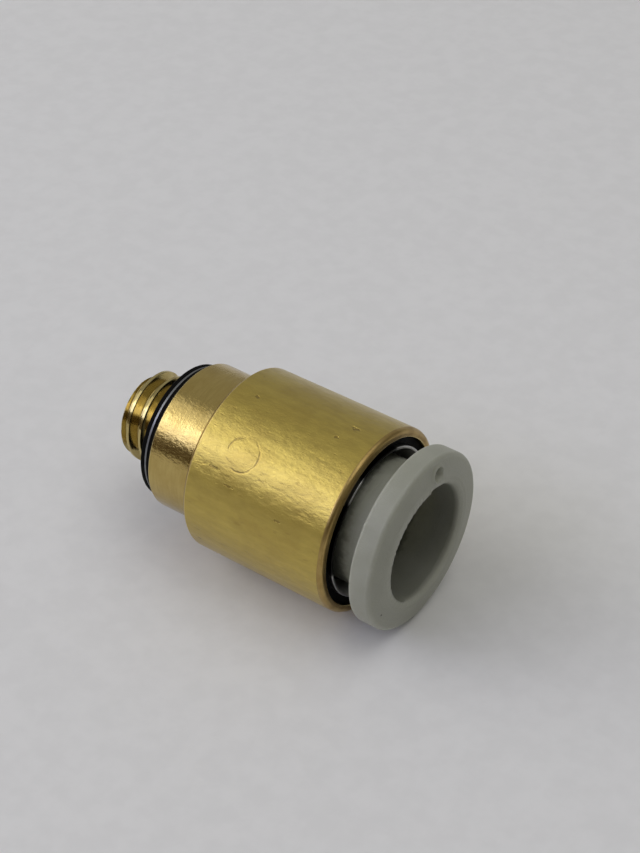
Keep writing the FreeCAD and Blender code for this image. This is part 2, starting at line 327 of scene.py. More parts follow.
# %% [markdown]
# ## Effects that several materials share
#
# Metal and plastic parts show the same few things in different amounts: lines left by a tool or a die, small pits,
# cloudy patches, edges rubbed bright, and the odd nick. Each is a node group with named inputs, built once. A group
# only puts out numbers from 0 to 1, and the material decides what they do to colour, roughness and height.
#
# Every group reads Object coordinates, which here are metres in the CAD frame, and turns them into millimetres.

# %% Start the groups
def effect(name, inputs, outputs):
    """A new group with its named sockets, and the nodes that hold them."""
    tree = bpy.data.node_groups.new(name, "ShaderNodeTree")
    for label, kind, value in inputs:
        tree.interface.new_socket(label, in_out="INPUT", socket_type=kind).default_value = value
    for label in outputs:
        tree.interface.new_socket(label, in_out="OUTPUT", socket_type="NodeSocketFloat")
    return tree, node(tree, "NodeGroupInput").outputs, node(tree, "NodeGroupOutput").inputs


def place_in_mm(tree):
    """Object coordinates in millimetres."""
    metres = node(tree, "ShaderNodeTexCoord").outputs["Object"]
    return vector_maths(tree, "MULTIPLY", metres, (1 / MM, 1 / MM, 1 / MM))


def across_axis(tree, place):
    """A place with its share along the axis taken out, which leaves the way out from the axis."""
    return vector_maths(tree, "MULTIPLY", place, (0, 1, 1))


def vector_length(tree, vector):
    """How long a vector is."""
    return node(tree, "ShaderNodeVectorMath", {0: vector}, operation="LENGTH").outputs["Value"]


NUMBER = "NodeSocketFloat"
VECTOR = "NodeSocketVector"
print("groups can be made")

# %% [markdown]
# **Drawn streaks** run along a bar that was pulled through a die. Noise is stretched by giving it few waves per
# millimetre along the axis and many across it.
#
# **Turning lines** run round the axis. On a cylinder they change with x, and on a flat face with the radius, so
# the noise reads both of those and hardly anything else.

# %% Make the line effects
drawn_streaks, given, result = effect("drawn_streaks", [("Along", NUMBER, 0.3), ("Across", NUMBER, 8.0)], ["Lines"])
scale = node(drawn_streaks, "ShaderNodeCombineXYZ", {0: given["Along"], 1: given["Across"], 2: given["Across"]})
stretched = vector_maths(drawn_streaks, "MULTIPLY", place_in_mm(drawn_streaks), scale.outputs[0])
streaks = node(drawn_streaks, "ShaderNodeTexNoise", {"Vector": stretched, "Scale": 1, "Detail": 4, "Roughness": 0.65})
drawn_streaks.links.new(ramp(drawn_streaks, streaks.outputs[0], 0.28, 0.72), result["Lines"])

turning_lines, given, result = effect("turning_lines", [("Lines Per Mm", NUMBER, 9.0), ("Unevenness", NUMBER, 0.4)],
                                      ["Lines"])
place = place_in_mm(turning_lines)
outward = across_axis(turning_lines, place)
along = node(turning_lines, "ShaderNodeSeparateXYZ", {0: place}).outputs["X"]
radius = vector_length(turning_lines, outward)
x_and_radius = node(turning_lines, "ShaderNodeCombineXYZ", {0: along, 1: radius}).outputs[0]
packed = node(turning_lines, "ShaderNodeVectorMath", {0: x_and_radius, "Scale": given["Lines Per Mm"]},
              operation="SCALE")
drift = node(turning_lines, "ShaderNodeVectorMath", {0: outward, "Scale": given["Unevenness"]}, operation="SCALE")
read_at = vector_maths(turning_lines, "ADD", packed.outputs["Vector"], drift.outputs["Vector"])
lines = node(turning_lines, "ShaderNodeTexNoise", {"Vector": read_at, "Scale": 1, "Detail": 3, "Roughness": 0.6})
turning_lines.links.new(ramp(turning_lines, lines.outputs[0], 0.28, 0.72), result["Lines"])
print("made", drawn_streaks.name, "and", turning_lines.name)

# %% [markdown]
# **Patches** are soft clouds, for tarnish and for uneven gloss. **Pits** are small round spots, in only some of the
# cells of a Voronoi pattern, so that they lie scattered and not in a grid.

# %% Make the patch and pit effects
patches, given, result = effect("patches", [("Per Mm", NUMBER, 0.6), ("Low", NUMBER, 0.4), ("High", NUMBER, 0.65),
                                            ("Stretch", NUMBER, 1.0)], ["Mask"])
squeeze = node(patches, "ShaderNodeCombineXYZ", {0: given["Stretch"], 1: 1.0, 2: 1.0}).outputs[0]
cloud_place = vector_maths(patches, "MULTIPLY", place_in_mm(patches), squeeze)
clouds = node(patches, "ShaderNodeTexNoise", {"Vector": cloud_place, "Scale": given["Per Mm"], "Detail": 5,
                                              "Roughness": 0.6})
patches.links.new(ramp(patches, clouds.outputs[0], given["Low"], given["High"]), result["Mask"])

pits, given, result = effect("pits", [("Per Mm", NUMBER, 2.0), ("Size", NUMBER, 0.25), ("Share", NUMBER, 0.3),
                                      ("Stretch", NUMBER, 1.0)], ["Mask"])
squeeze = node(pits, "ShaderNodeCombineXYZ", {0: given["Stretch"], 1: 1.0, 2: 1.0}).outputs[0]
pit_place = vector_maths(pits, "MULTIPLY", place_in_mm(pits), squeeze)
cells = node(pits, "ShaderNodeTexVoronoi", {"Vector": pit_place, "Scale": given["Per Mm"], "Randomness": 1.0})
cell_value = node(pits, "ShaderNodeSeparateColor", {0: cells.outputs["Color"]}).outputs["Red"]
chosen = maths(pits, "LESS_THAN", cell_value, given["Share"])
own_size = maths(pits, "MULTIPLY", given["Size"], maths(pits, "ADD", 0.4, maths(pits, "DIVIDE", cell_value,
                                                                                 given["Share"])))
hole = ramp(pits, cells.outputs["Distance"], own_size, maths(pits, "MULTIPLY", own_size, 0.5))
pits.links.new(maths(pits, "MULTIPLY", hole, chosen), result["Mask"])
print("made", patches.name, "and", pits.name)

# %% [markdown]
# **Edge wear** needs to know where the edges are. The meshes below carry an attribute called edge: 1 on a rounded
# outer edge and 0 elsewhere. The group breaks it up with noise, so that the rub is uneven.
#
# A **nick** is one mark at one place: an ellipsoid round a given centre, with its own length and width. A
# **stamped ring** is a faint plain circle, pressed in unevenly, where parts like this one carry a mark. A **painted
# shade arc** is painted shade on one side of a ring, where its bright line goes dark. It lies where the way out from
# the axis comes close to a given direction, which their dot product tells.

# %% Make the wear, nick, ring and painted shade effects
edge_wear, given, result = effect("edge_wear", [("Amount", NUMBER, 0.8), ("Breakup Per Mm", NUMBER, 3.0)], ["Mask"])
edge = node(edge_wear, "ShaderNodeAttribute", attribute_name="edge").outputs["Fac"]
breakup = node(edge_wear, "ShaderNodeTexNoise", {"Vector": place_in_mm(edge_wear), "Scale": given["Breakup Per Mm"],
                                                 "Detail": 3})
kept = ramp(edge_wear, breakup.outputs[0], 0.25, 0.6, 0.35, 1.0)
edge_wear.links.new(maths(edge_wear, "MULTIPLY", maths(edge_wear, "MULTIPLY", edge, kept), given["Amount"], True),
                    result["Mask"])

nick, given, result = effect("nick", [("Centre", VECTOR, (0, 0, 0)), ("Length", NUMBER, 0.3),
                                      ("Width", NUMBER, 0.1)], ["Mask"])
offset = vector_maths(nick, "SUBTRACT", place_in_mm(nick), given["Centre"])
nick_size = node(nick, "ShaderNodeCombineXYZ", {0: given["Length"], 1: given["Width"], 2: given["Width"]}).outputs[0]
ragged = node(nick, "ShaderNodeTexNoise", {"Vector": place_in_mm(nick), "Scale": 6.0, "Detail": 2}).outputs[0]
reach = vector_length(nick, vector_maths(nick, "DIVIDE", offset, nick_size))
ragged_reach = maths(nick, "ADD", reach, maths(nick, "SUBTRACT", ragged, 0.5))
nick.links.new(ramp(nick, ragged_reach, 0.55, 0.3), result["Mask"])

stamped_ring, given, result = effect("stamped_ring", [("Centre", VECTOR, (0, 0, 0)), ("Radius", NUMBER, 0.9),
                                                      ("Line", NUMBER, 0.06)], ["Mask"])
offset = vector_maths(stamped_ring, "SUBTRACT", place_in_mm(stamped_ring), given["Centre"])
from_line = maths(stamped_ring, "SUBTRACT", vector_length(stamped_ring, offset), given["Radius"])
from_line = maths(stamped_ring, "ABSOLUTE", from_line)
faintness = node(stamped_ring, "ShaderNodeTexNoise", {"Vector": place_in_mm(stamped_ring), "Scale": 1.3}).outputs[0]
on_line = ramp(stamped_ring, from_line, given["Line"], 0.0)
stamped_ring.links.new(maths(stamped_ring, "MULTIPLY", on_line, ramp(stamped_ring, faintness, 0.36, 0.56)),
                       result["Mask"])

painted_shade_arc, given, result = effect("painted_shade_arc", [("Toward", VECTOR, (0, 0, 1)), ("Edge", NUMBER, 0.93)], ["Mask"])
outward = vector_maths(painted_shade_arc, "NORMALIZE", across_axis(painted_shade_arc, place_in_mm(painted_shade_arc)))
facing = node(painted_shade_arc, "ShaderNodeVectorMath", {0: outward, 1: given["Toward"]}, operation="DOT_PRODUCT")
wobble = node(painted_shade_arc, "ShaderNodeTexNoise", {"Vector": place_in_mm(painted_shade_arc), "Scale": 2.5, "Detail": 2}).outputs[0]
wobble = maths(painted_shade_arc, "MULTIPLY", maths(painted_shade_arc, "SUBTRACT", wobble, 0.5), 0.06)
facing = maths(painted_shade_arc, "ADD", facing.outputs["Value"], wobble)
painted_shade_arc.links.new(ramp(painted_shade_arc, facing, maths(painted_shade_arc, "SUBTRACT", given["Edge"], 0.03), given["Edge"]), result["Mask"])
print("made", edge_wear.name, nick.name, stamped_ring.name, "and", painted_shade_arc.name)


# %% Write the material helpers
def use(tree, group, **values):
    """Places a group in a material with its own values, and returns its output. Underscores stand for spaces."""
    made = tree.nodes.new("ShaderNodeGroup")
    made.node_tree = group
    for label, value in values.items():
        made.inputs[label.replace("_", " ")].default_value = value
    return made.outputs[0]


def begin(name):
    """A new material and its emptied node tree."""
    material = bpy.data.materials.new(name)
    material.use_nodes = True
    material.node_tree.nodes.clear()
    return material, material.node_tree


def layered(tree, shade, *layers):
    """A shade with layers laid over it. Each layer is a mask, the share of it that shows, and its colour."""
    for mask, share, over in layers:
        shade = blend(tree, maths(tree, "MULTIPLY", mask, share), shade, colour(*over))
    return shade


def summed(tree, start, *terms):
    """A number plus masks. Each term is a mask and its weight."""
    for mask, weight in terms:
        start = maths(tree, "ADD", start, maths(tree, "MULTIPLY", mask, weight))
    return start


def close(material, base, roughness, height, depth, metallic=0.0, **sockets):
    """Ends a material: a Bump node of the given depth in metres, and a Principled BSDF with its own constants."""
    tree = material.node_tree
    bump = node(tree, "ShaderNodeBump", {"Height": height, "Distance": depth, "Strength": 1.0})
    shader = node(tree, "ShaderNodeBsdfPrincipled", {"Base Color": base, "Roughness": roughness,
                                                     "Metallic": metallic, "Normal": bump.outputs[0]})
    for label, value in sockets.items():
        shader.inputs[label.replace("_", " ")].default_value = value
    node(tree, "ShaderNodeOutputMaterial", {"Surface": shader.outputs[0]})
    print("material", material.name)
    return material


# %% [markdown]
# ## Brass, in four finishes
#
# The body is one piece of brass, but it was worked in four ways. The barrel is the bar as it was bought: drawn,
# dull, streaked along the axis, with pits and knocks. The shoulder was turned, so it is brighter and sharper, with
# faint lines round the axis. The barrel's faces and its front edge were cut, and are painted a darker brown: painted
# shade, for the dark surroundings that these faces mirror, with a few stains over it. The thread was cut last and is
# almost a mirror, with painted shade in its root. Four materials on one mesh show this better than one material
# with masks, because each has its own lines.

# %% Make the drawn brass
drawn_brass, tree = begin("drawn_brass")
fine_streaks = use(tree, drawn_streaks, Along=1.6, Across=6.0)
broad_streaks = use(tree, drawn_streaks, Along=0.12, Across=2.2)
tarnish = use(tree, patches, Per_Mm=0.45, Low=0.42, High=0.68, Stretch=0.6)
dapple = use(tree, patches, Per_Mm=2.3, Low=0.25, High=0.75, Stretch=0.58)
mottle = use(tree, patches, Per_Mm=2.0, Low=0.38, High=0.68, Stretch=0.5)
beaten = use(tree, patches, Per_Mm=5.0, Low=0.25, High=0.75, Stretch=0.6)
scuffs = use(tree, patches, Per_Mm=3.4, Low=0.60, High=0.72, Stretch=0.35)
bar_pits = use(tree, pits, Per_Mm=1.5, Size=0.13, Share=0.12, Stretch=0.6)
rubbed = use(tree, edge_wear, Amount=0.6, Breakup_Per_Mm=2.5)
KNOCKS = [((10.16, -0.73, 4.95), 0.34, 0.2), ((10.63, 0.28, 4.99), 0.5, 0.24), ((5.25, -0.48, 4.98), 0.3, 0.17),
          ((5.2, -4.1, 2.9), 0.7, 0.15), ((6.3, -4.4, 2.4), 0.6, 0.14), ((9.4, -4.6, 1.9), 0.4, 0.15)]
knocks = 0.0
for centre, length, width in KNOCKS:
    knocks = maths(tree, "MAXIMUM", knocks, use(tree, nick, Centre=centre, Length=length, Width=width))
stamp = use(tree, stamped_ring, Centre=(6.44, -3.31, 3.75), Radius=0.90, Line=0.09)
bar_colour = layered(
    tree, blend(tree, broad_streaks, colour(0.54, 0.41, 0.085), colour(0.61, 0.47, 0.105)),
    (fine_streaks, 0.25, (0.44, 0.325, 0.075)),
    (mottle, 0.35, (0.40, 0.29, 0.065)),
    (tarnish, 0.35, (0.42, 0.29, 0.06)),
    (scuffs, 0.35, (0.32, 0.21, 0.045)),
    (bar_pits, 0.6, (0.20, 0.13, 0.035)),
    (stamp, 0.45, (0.26, 0.16, 0.04)),
    (knocks, 0.5, (0.20, 0.12, 0.03)),
    (rubbed, 1.0, (0.66, 0.51, 0.17)))
bar_roughness = summed(tree, 0.325, (dapple, 0.07), (fine_streaks, 0.05))
bar_height = summed(tree, 0.0, (fine_streaks, 0.16), (dapple, 1.0), (beaten, 0.45), (scuffs, -0.5), (bar_pits, -1.2),
                    (stamp, -1.2), (knocks, -3.0))
close(drawn_brass, bar_colour, bar_roughness, bar_height, 0.000012, metallic=1.0, Coat_Weight=0.5,
      Coat_Roughness=0.3)

# %% Make the turned brass
turned_brass, tree = begin("turned_brass")
tool_lines = use(tree, turning_lines, Lines_Per_Mm=8.0, Unevenness=1.2)
turned_patches = use(tree, patches, Per_Mm=0.8, Low=0.4, High=0.7)
hammered = use(tree, patches, Per_Mm=4.5, Low=0.25, High=0.75, Stretch=0.7)
turned_pits = use(tree, pits, Per_Mm=2.2, Size=0.14, Share=0.12)
rubbed = use(tree, edge_wear, Amount=0.7, Breakup_Per_Mm=3.0)
turned_colour = layered(
    tree, blend(tree, tool_lines, colour(0.49, 0.365, 0.125), colour(0.55, 0.415, 0.15)),
    (turned_patches, 0.5, (0.42, 0.295, 0.085)),
    (turned_pits, 0.6, (0.25, 0.16, 0.05)),
    (rubbed, 1.0, (0.74, 0.60, 0.28)))
turned_roughness = summed(tree, 0.15, (turned_patches, 0.08))
turned_height = summed(tree, 0.0, (tool_lines, 0.25), (hammered, 0.75), (turned_pits, -1.0))
close(turned_brass, turned_colour, turned_roughness, turned_height, 0.000008, metallic=1.0)

# %% Make the faced brass, with painted shade
faced_brass_painted_shade, tree = begin("faced_brass_painted_shade")
facing_lines = use(tree, turning_lines, Lines_Per_Mm=12.0, Unevenness=1.0)
stain = use(tree, patches, Per_Mm=1.1, Low=0.35, High=0.68)
rubbed = use(tree, edge_wear, Amount=0.25, Breakup_Per_Mm=2.0)
# Painted shade: a darker brown than the barrel stands in for the dark surroundings that the cut faces and the front
# rounding mirror. The stains are real.
faced_painted_shade_colour = layered(
    tree, blend(tree, facing_lines, colour(0.37, 0.245, 0.08), colour(0.45, 0.315, 0.11)),
    (stain, 0.6, (0.25, 0.15, 0.045)),
    (rubbed, 1.0, (0.62, 0.47, 0.19)))
faced_roughness = summed(tree, 0.30, (stain, 0.12))
close(faced_brass_painted_shade, faced_painted_shade_colour, faced_roughness, facing_lines, 0.000004, metallic=1.0)

# %% Make the thread's brass
thread_brass, tree = begin("thread_brass")
cut_lines = use(tree, turning_lines, Lines_Per_Mm=14.0, Unevenness=0.8)
thread_film = use(tree, patches, Per_Mm=1.6, Low=0.42, High=0.7)
radius = vector_length(tree, across_axis(tree, place_in_mm(tree)))
# Darker towards the groove's root: oil there, and painted shade in the groove.
root_grime_and_shade = ramp(tree, radius, THREAD_ROOT_R + 0.12, THREAD_ROOT_R)
thread_colour = layered(
    tree, blend(tree, thread_film, colour(0.56, 0.46, 0.20), colour(0.46, 0.35, 0.13)),
    (cut_lines, 0.2, (0.50, 0.40, 0.17)),
    (root_grime_and_shade, 0.3, (0.10, 0.055, 0.015)))
thread_roughness = summed(tree, 0.10, (thread_film, 0.10))
close(thread_brass, thread_colour, thread_roughness, cut_lines, 0.0000012, metallic=1.0)

# %% [markdown]
# ## Steel, rubber and plastic
#
# The guide's lip and the gasket's washer are thin steel. The lip is painted near-black in places, painted shade that
# makes its bright line come and go. The claws are spring steel. The rubber is nearly black and fine-grained. The
# collar is black plastic, near-black so that it also paints the deep shade round it, and the button a grey acetal
# that was moulded in a spark-eroded mould: a dull skin with a very fine grain, a little light passing into it.

# %% Make the steels
def steel(name, bright, dark, roughness, lines_per_mm, wear, shaded_at=()):
    """Steel in a named shade: tool lines, faint clouds and bright edges, and painted shade at some angles from +Y."""
    material, tree = begin(name)
    lines = use(tree, turning_lines, Lines_Per_Mm=lines_per_mm, Unevenness=1.5)
    film = use(tree, patches, Per_Mm=1.8, Low=0.4, High=0.7)
    rubbed = use(tree, edge_wear, Amount=wear, Breakup_Per_Mm=2.0)
    shade = layered(tree, colour(*bright), (film, 0.6, dark), (rubbed, 1.0, (0.80, 0.80, 0.79)))
    # Painted shade: near-black at these angles round the lip, where its bright line goes dark.
    for angle in shaded_at:
        toward = (0.0, math.cos(math.radians(angle)), math.sin(math.radians(angle)))
        shade = layered(tree, shade, (use(tree, painted_shade_arc, Toward=toward, Edge=0.945), 1.0, (0.012, 0.012, 0.011)))
    rough = summed(tree, roughness, (film, 0.08))
    return close(material, shade, rough, lines, 0.0000015, metallic=1.0)


guide_steel = steel("guide_steel", (0.42, 0.42, 0.41), (0.26, 0.26, 0.255), 0.28, 5.0, 0.15, (90, 152, 166))
washer_steel = steel("washer_steel", (0.25, 0.255, 0.26), (0.17, 0.175, 0.18), 0.40, 16.0, 0.2)
spring_steel = steel("spring_steel", (0.52, 0.52, 0.51), (0.36, 0.36, 0.35), 0.28, 9.0, 0.35)

# %% Make the rubber and the black plastic
def black_polymer(name, base, grey, roughness, grain_depth, gloss_level):
    """A black moulded material: grain, cloudy gloss and a few pale dust specks."""
    material, tree = begin(name)
    grain = use(tree, patches, Per_Mm=14.0, Low=0.3, High=0.7)
    gloss = use(tree, patches, Per_Mm=1.3, Low=0.35, High=0.7)
    specks = use(tree, pits, Per_Mm=3.0, Size=0.07, Share=0.12)
    rubbed = use(tree, edge_wear, Amount=0.35, Breakup_Per_Mm=4.0)
    shade = layered(tree, colour(*base), (gloss, 1.0, grey), (rubbed, 1.0, (0.02, 0.02, 0.02)),
                    (specks, 0.3, (0.12, 0.11, 0.10)))
    rough = summed(tree, roughness, (gloss, 0.12))
    return close(material, shade, rough, grain, grain_depth, Specular_IOR_Level=gloss_level)


gasket_rubber = black_polymer("gasket_rubber", (0.0015, 0.0015, 0.0015), (0.003, 0.003, 0.003), 0.60, 0.000004, 0.06)
# Near-black: the plastic's own black, and painted shade for the deep gaps where the collar and the cone sit.
collar_plastic_and_shade = black_polymer("collar_plastic_and_shade", (0.001, 0.001, 0.001), (0.002, 0.002, 0.002), 0.50, 0.000002, 0.04)

# %% [markdown]
# The button's neck is painted darker where it goes into the guide, and the bore behind its face is painted a little
# darker than the face: painted shade, where the guide and the face keep the light out. Both follow from where a
# point lies: the neck by its distance along the axis, the bore by its radius. The painted shade reaches furthest on
# the neck's lower side.

# %% Make the painted shade on the neck and in the bore
neck_and_bore_shade, _, result = effect("neck_and_bore_shade", [], ["Mask"])
parts = node(neck_and_bore_shade, "ShaderNodeSeparateXYZ", {0: place_in_mm(neck_and_bore_shade)}).outputs
radius = vector_length(neck_and_bore_shade, across_axis(neck_and_bore_shade, place_in_mm(neck_and_bore_shade)))
blotches = node(neck_and_bore_shade, "ShaderNodeTexNoise", {"Vector": place_in_mm(neck_and_bore_shade), "Scale": 2.5, "Detail": 3}).outputs[0]
shade_edge_x = summed(neck_and_bore_shade, parts["X"], (maths(neck_and_bore_shade, "SUBTRACT", blotches, 0.5), 0.7), (parts["Z"], 0.10))
on_neck = ramp(neck_and_bore_shade, shade_edge_x, MOUTH_X + 0.6, MOUTH_X - 0.2, 0.0, 0.9)
in_bore = ramp(neck_and_bore_shade, radius, BUTTON_BORE_R + 0.12, BUTTON_BORE_R + 0.01, 0.0, 0.38)
neck_and_bore_shade.links.new(maths(neck_and_bore_shade, "MAXIMUM", on_neck, in_bore), result["Mask"])
print("made", neck_and_bore_shade.name)

# %% Make the grey acetal
DARK_SPECK = (14.99, -3.71, -1.94)
grey_acetal, tree = begin("grey_acetal")
spark_grain = use(tree, patches, Per_Mm=12.0, Low=0.25, High=0.75)
flow_marks = use(tree, patches, Per_Mm=0.7, Low=0.35, High=0.7)
moulding_lines = use(tree, turning_lines, Lines_Per_Mm=7.0, Unevenness=0.6)
specks = use(tree, pits, Per_Mm=1.6, Size=0.05, Share=0.10)
# Lighter on the rounded edges: a little rubbed wear, and a painted glint along the bore's edge.
rubbed = use(tree, edge_wear, Amount=0.15, Breakup_Per_Mm=5.0)
dark_speck = use(tree, nick, Centre=DARK_SPECK, Length=0.2, Width=0.13)
# Painted shade on the neck and in the bore, from the group above.
neck_and_bore_shade_mask = use(tree, neck_and_bore_shade)
grey_shade = layered(
    tree, blend(tree, flow_marks, colour(0.335, 0.34, 0.28), colour(0.37, 0.375, 0.315)),
    (moulding_lines, 0.15, (0.325, 0.33, 0.27)),
    (rubbed, 1.0, (0.47, 0.48, 0.41)),
    (neck_and_bore_shade_mask, 1.0, (0.05, 0.05, 0.04)),
    (specks, 0.5, (0.20, 0.19, 0.15)),
    (dark_speck, 1.0, (0.05, 0.04, 0.03)))
grey_rough = summed(tree, 0.40, (flow_marks, 0.10))
grey_height = summed(tree, 0.0, (spark_grain, 0.8), (moulding_lines, 0.4))
close(grey_acetal, grey_shade, grey_rough, grey_height, 0.000010, Specular_IOR_Level=0.45, Subsurface_Weight=0.3,
      Subsurface_Radius=(0.0016, 0.0016, 0.0013), Subsurface_Scale=1.0)

# %% [markdown]
# ## Sections and surfaces
#
# Every piece but the claws is turned or moulded round the axis, so each is a section carried round a circle. A
# section is a list of corners, each with its distance along the axis, its radius from the axis, and how much it
# is rounded. Real edges are never quite sharp, and the small rounding is what catches the light.
#
# A Bevel modifier could round the edges afterwards. Rounding the section first is exact, keeps all the faces
# four-sided, and tells us which points lie on an edge, for the wear.

# %% Write the section helpers
ARC_STEPS = 5
HOLD = 0.05


def corner(x, r, rounding=0.03, finish=0, parts=1):
    """A corner of a section. The finish and the number of parts belong to the side that starts at the corner."""
    return x, r, rounding, finish, parts


def unit(vector):
    """The vector at length 1."""
    return vector / np.hypot(*vector)


def rounded_corner(before, place, after, rounding):
    """Points of a tangent arc in place of a corner, with a holding point on each side of it.

    The arc turns from the side before to the side after about a centre on the corner's bisector. Each of its points
    is a spherical blend of the two end radii, so that they are evenly spaced.
    """
    back, ahead = unit(before - place), unit(after - place)
    half = math.acos(np.clip(back @ ahead, -1, 1)) / 2
    reach = rounding / math.tan(half)
    centre = place + unit(back + ahead) * rounding / math.sin(half)
    sweep = math.pi - 2 * half
    t = np.linspace(0, 1, ARC_STEPS + 1)[:, None]
    start, end = place + back * reach - centre, place + ahead * reach - centre
    arc = centre + (np.sin((1 - t) * sweep) * start + np.sin(t * sweep) * end) / math.sin(sweep)
    return np.vstack([place + back * (reach + HOLD * rounding), arc, place + ahead * (reach + HOLD * rounding)])


def section(corners, closed=True):
    """Rows (x, r), edge and finish of a section.

    Straight sides stay single unless they ask for more parts. The edge value is 1 on an arc that stands out from
    the piece and 0 elsewhere. An open section keeps its two ends as they are.
    """
    places = np.array([c[:2] for c in corners], float)
    before, after = np.roll(places, 1, 0), np.roll(places, -1, 0)
    points, edges = [], []
    for i, (_, _, rounding, _, _) in enumerate(corners):
        at_end = not closed and i in (0, len(corners) - 1)
        if rounding == 0 or at_end:
            points.append(places[i][None])
            edges.append(np.zeros(1))
        else:
            points.append(rounded_corner(before[i], places[i], after[i], rounding))
            turn = np.cross(places[i] - before[i], after[i] - places[i])
            edges.append(np.pad(np.full(ARC_STEPS + 1, float(turn < 0)), 1))
    rows, row_edges, finishes = [], [], []
    for i, (_, _, _, finish, parts) in enumerate(corners):
        share = np.linspace(0, 1, parts + 1)[1:-1, None]
        side = points[i][-1] * (1 - share) + points[(i + 1) % len(points)][0] * share
        rows.append(np.vstack([points[i], side]))
        row_edges.append(np.concatenate([edges[i], np.zeros(parts - 1)]))
        finishes.append(np.full(len(rows[-1]), finish))
    return np.vstack(rows), np.concatenate(row_edges), np.concatenate(finishes)


print("section helpers ready")

# %% [markdown]
# A grid of points becomes a mesh in one step. Rows follow the section and columns go round the axis. The faces are
# worked out as whole arrays of point numbers, wound so that they point outwards when the section runs forwards on
# the outside and backwards on the inside.

# %% Write the surface helpers
COLUMNS = 288
MERGE_DISTANCE = 2e-7


def around(count):
    """Angles of the columns, counted from +Y towards +Z."""
    return np.arange(count) * (2 * math.pi / count)


def grid_faces(rows, columns, wrap_rows):
    """Point numbers of the four-sided faces between neighbouring rows and columns. Columns always wrap."""
    row = np.arange(rows if wrap_rows else rows - 1)[:, None]
    column = np.arange(columns)[None]
    next_row, next_column = (row + 1) % rows, (column + 1) % columns
    corners = [row * columns + column, row * columns + next_column, next_row * columns + next_column,
               next_row * columns + column]
    return np.stack([c.ravel() for c in corners], 1)


def surface_points(x, r, angle):
    """Points in metres: x along the axis, r from it, at an angle round it."""
    x, r, angle = np.broadcast_arrays(x, r, angle)
    return np.stack([x, r * np.cos(angle), r * np.sin(angle)], -1).reshape(-1, 3) * MM


def piece(name, points, faces, finishes, edges, materials, body, slot, *replaced):
    """A finished piece: mesh, edge attribute, materials, smooth shading, and the body that it hangs from. The slot is
    not used.
    """
    mesh = bpy.data.meshes.new(name)
    mesh.from_pydata(points.tolist(), [], faces.tolist())
    mesh.attributes.new("edge", "FLOAT", "POINT").data.foreach_set("value", edges.astype(np.float32))
    mesh.polygons.foreach_set("material_index", finishes.astype(np.int32))
    shape = bmesh.new()
    shape.from_mesh(mesh)
    bmesh.ops.remove_doubles(shape, verts=shape.verts, dist=MERGE_DISTANCE)
    bmesh.ops.dissolve_degenerate(shape, edges=shape.edges, dist=MERGE_DISTANCE)
    open_edges = sum(1 for e in shape.edges if len(e.link_faces) != 2)
    shape.to_mesh(mesh)
    shape.free()
    mesh.polygons.foreach_set("use_smooth", np.ones(len(mesh.polygons), bool))
    mesh.set_sharp_from_angle(angle=math.radians(40))
    for material in materials:
        mesh.materials.append(material)
    made = bpy.data.objects.new(name, mesh)
    bpy.context.scene.collection.objects.link(made)
    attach(made, body)
    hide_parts(*replaced)
    print(f"{name}: {len(mesh.polygons)} faces, {open_edges} open edges")


def lathe(name, corners, material, slot, replaced):
    """A piece of the housing, of one material, with the same closed section all the way round."""
    rows, edges, finishes = section(corners)
    points = surface_points(rows[:, :1], rows[:, 1:], around(COLUMNS)[None])
    faces = grid_faces(len(rows), COLUMNS, True)
    piece(name, points, faces, np.repeat(finishes, COLUMNS), np.repeat(edges, COLUMNS), [material], "housing", slot,
          replaced)


print("surface helpers ready")

# %% [markdown]
# ## The brass body
#
# Its section runs from the thread relief over the gasket face, the shoulder and the barrel, round the mouth, and
# back down the stepped bore to the tube stop. There the bore becomes a hexagon for the key, and a small hole goes
# on to the stud's tip. A hexagon is still a radius for each angle: half the distance across the flats, divided by
# the cosine of the angle from the middle of the nearest flat. So it fits in the same grid of rows and columns.

